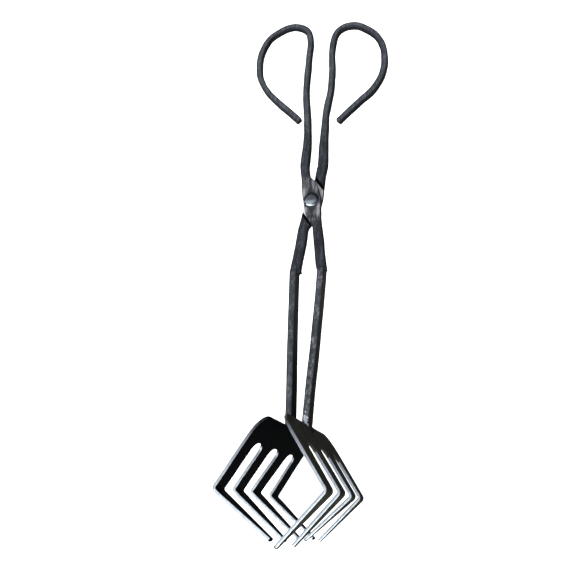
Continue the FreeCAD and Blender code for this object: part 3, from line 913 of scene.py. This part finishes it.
def weld_material(name, slag_side):
    """Weld metal: bright lumps whose bright grey is a painted highlight, and dark slag in the hollows
    and right of slag_side.

    slag_side is in millimetres from the pivot.
    """
    material, tree, shader = new_material(name, Metallic=0.85)
    own = node(tree, "TexCoord").outputs["Object"]
    own_x = node(tree, "SeparateXYZ", {"Vector": own}).outputs["X"]
    side = PIVOT.x + slag_side * MM
    past = spread(tree, own_x, side - 0.0008, side + 0.0008)
    hollows = spread(tree, speckle(tree, 200.0, 3.0, 0.5), 0.5, 0.68)
    slag = maths(tree, "MAXIMUM", hollows, past)
    # Painted highlight: the bright grey where there is no slag.
    colour = mix(tree, slag, grey(0.46, EDGE_BLUE), grey(0.03))
    tree.links.new(colour, shader.inputs["Base Color"])
    tree.links.new(spread(tree, slag, 0, 1, 0.3, 0.6), shader.inputs["Roughness"])
    tree.links.new(bump(tree, speckle(tree, 800.0, 4.0), 0.0002, 0.5), shader.inputs["Normal"])
    return material


# ---------------------------------------------------------------- stage

def stage():
    """A pale floor and soft lights; the floor's and the world's glow keep the ground white."""
    bpy.ops.mesh.primitive_plane_add(size=12.0, location=(0, 0, 0))
    floor = bpy.context.object
    floor.name = "floor"
    material, *_ = new_material("pale_floor", Base_Color=grey(0.8), Roughness=0.9,
                                Specular_IOR_Level=0.0, Emission_Color=grey(1.0),
                                Emission_Strength=1.0)
    floor.data.materials.append(material)
    floor.visible_glossy = False
    floor.visible_diffuse = False

    world = bpy.data.worlds.new("studio")
    bpy.context.scene.world = world
    world.use_nodes = True
    tree = world.node_tree
    seen = node(tree, "LightPath").outputs["Is Camera Ray"]
    background = tree.nodes["Background"]
    tree.links.new(mix(tree, seen, grey(0.16), grey(1.0)), background.inputs["Color"])

    panel("overhead", (-0.25, 0.25, 1.0), 1.2, (2.6, 2.6), 20.0)
    panel("front_panel", (-0.24, -0.84, 0.50), 1.3, (3.0, 0.7), 36.0)
    panel("left_fill", (-0.85, 0.3, 0.4), 1.6, (0.8, 0.8), 2.0)


def panel(name, direction, distance, size, power):
    """A soft area light that faces the pivot; distance and size are in metres, power in watts."""
    light = bpy.data.lights.new(name, "AREA")
    light.shape = "RECTANGLE"
    light.size, light.size_y = size
    light.energy = power
    lamp = bpy.data.objects.new(name, light)
    away = Vector(direction).normalized()
    lamp.location = PIVOT + away * distance
    lamp.rotation_euler = away.to_track_quat("Z", "Y").to_euler()
    bpy.context.scene.collection.objects.link(lamp)


def camera():
    """Looks down from above the claws and to their right, a little turned about its own axis."""
    azimuth, elevation = math.radians(EYE_AZIMUTH), math.radians(EYE_ELEVATION)
    roll = math.radians(EYE_ROLL)
    back = Vector((math.sin(azimuth) * math.cos(elevation),
                   -math.cos(azimuth) * math.cos(elevation), math.sin(elevation)))
    level = Vector((math.cos(azimuth), math.sin(azimuth), 0.0))
    upright = back.cross(level)
    right = level * math.cos(roll) - upright * math.sin(roll)
    up = level * math.sin(roll) + upright * math.cos(roll)
    lens = bpy.data.cameras.new("camera")
    lens.sensor_width = SENSOR
    lens.lens = LENS
    eye = bpy.data.objects.new("camera", lens)
    turn = Matrix((right, up, back)).transposed().to_4x4()
    eye.matrix_world = Matrix.Translation(place(EYE)) @ turn
    bpy.context.scene.collection.objects.link(eye)
    bpy.context.scene.camera = eye


# ---------------------------------------------------------------- the tongs

def finish_piece(piece, material, body, node_name):
    """Gives a piece its material, its body and the node that it replaces."""
    piece.data.materials.clear()
    piece.data.materials.append(material)
    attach(piece, body)
    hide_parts(node_name)


def foot_beads(x, y, lean, heights):
    """The blobs of the two beads down a bar's foot, which follow the plate's slope."""
    return [((x + lean * k, y - 1.5 * k, z), (2.3, 2.0, 1.9)) for k in range(4) for z in heights]


def arms():
    forged = forged_material("forge_scale")
    front = arm("front_arm_forging", FRONT_EDGES, FRONT_LOOP, ARM_LEVEL, BACK_EDGES, front_marks)
    finish_piece(front, forged, "front_arm", "front_rein")
    back = arm("back_arm_forging", BACK_EDGES, BACK_LOOP, -ARM_LEVEL, FRONT_EDGES, back_marks)
    finish_piece(back, forged, "back_arm", "back_rein")


def bars():
    right_bar = jaw_bar("right_bar", RIGHT_BAR_LINE, ARM_LEVEL, 15.0, 16.0, RIGHT_BAR_SIDE)
    worn = bar_material("worn_bar", 1.0)
    finish_piece(right_bar, worn, "front_arm", "front_jaw_bar")
    left_bar = jaw_bar("left_bar", LEFT_BAR_LINE, -ARM_LEVEL, 12.0, 26.0)
    plain = bar_material("plain_bar", 0.45)
    finish_piece(left_bar, plain, "back_arm", "back_jaw_bar")


def claws():
    right = claw("right_claw_plate", RIGHT_CLAW_TOP, RIGHT_TINES, 0, (4, 13))
    # Painted light: both claws wear the same black paint; its face colour is lightened on the right
    # claw, where light falls, and darkened to near black on the left claw, which lies in shade.
    right_lit_black = claw_material("right_claw_lit_black", (0.046, 0.048, 0.036, 1.0), -0.35, 0.45, 0.56)
    finish_piece(right, right_lit_black, "front_arm", "right_claw")
    left = claw("left_claw_plate", LEFT_CLAW_TOP, LEFT_TINES, 12, (-2, 5))
    left_shaded_black = claw_material("left_claw_shaded_black", (0.0006, 0.0009, 0.0016, 1.0), 0.4, 0.06, 0.80)
    finish_piece(left, left_shaded_black, "back_arm", "left_claw")


def rivet_and_welds():
    rivet_piece = rivet("rivet")
    finish_piece(rivet_piece, rivet_material("hammered_rivet"), "front_arm",
                 "pivot_rivet")

    slag = weld_material("weld_slag", -40.0)
    front_blobs = [((11.6, -90.3, 3.4), (1.3, 1.7, 2.2)), ((12.0, -92.4, 2.6), (1.1, 1.5, 2.6)),
                   ((11.5, -91.2, 0.4), (1.3, 1.8, 2.0))]
    front_knee = bead("front_knee_bead", front_blobs)
    finish_piece(front_knee, slag, "front_arm", "front_knee_weld")
    back_blobs = [((-13.0, -90.0, -0.9), (1.6, 1.8, 2.2)), ((-13.4, -92.6, -1.8), (1.2, 1.6, 2.2)),
                  ((-13.0, -91.2, -4.0), (1.4, 1.8, 1.8))]
    back_knee = bead("back_knee_bead", back_blobs)
    finish_piece(back_knee, slag, "back_arm", "back_knee_weld")

    # A collar of spatter climbs the right bar's foot above its beads.
    collar = [((6.4, -251.4, 6.0), (1.2, 1.2, 0.7)), ((8.6, -253.2, 6.1), (1.5, 1.4, 0.9)),
              ((6.2, -256.4, 6.2), (2.6, 2.4, 1.5)), ((9.0, -257.6, 6.2), (2.0, 1.9, 1.4)),
              ((6.0, -259.6, 6.0), (2.3, 1.8, 1.5)), ((9.0, -260.8, 5.9), (2.2, 1.8, 1.5)),
              ((7.2, -263.2, 5.9), (2.4, 1.8, 1.6))]
    right_weld = bead("right_claw_bead", collar + foot_beads(8.6, -264.6, 1.2, (6.6, -2.2)))
    bright = weld_material("right_weld_highlit", 10.4)
    finish_piece(right_weld, bright, "front_arm", "right_claw_weld")
    left_weld = bead("left_claw_bead", foot_beads(-12.4, -266.8, -1.2, (2.2, -6.6)))
    finish_piece(left_weld, slag, "back_arm", "left_claw_weld")


bpy.context.scene.view_settings.view_transform = "Standard"
camera()
stage()
arms()
bars()
claws()
rivet_and_welds()
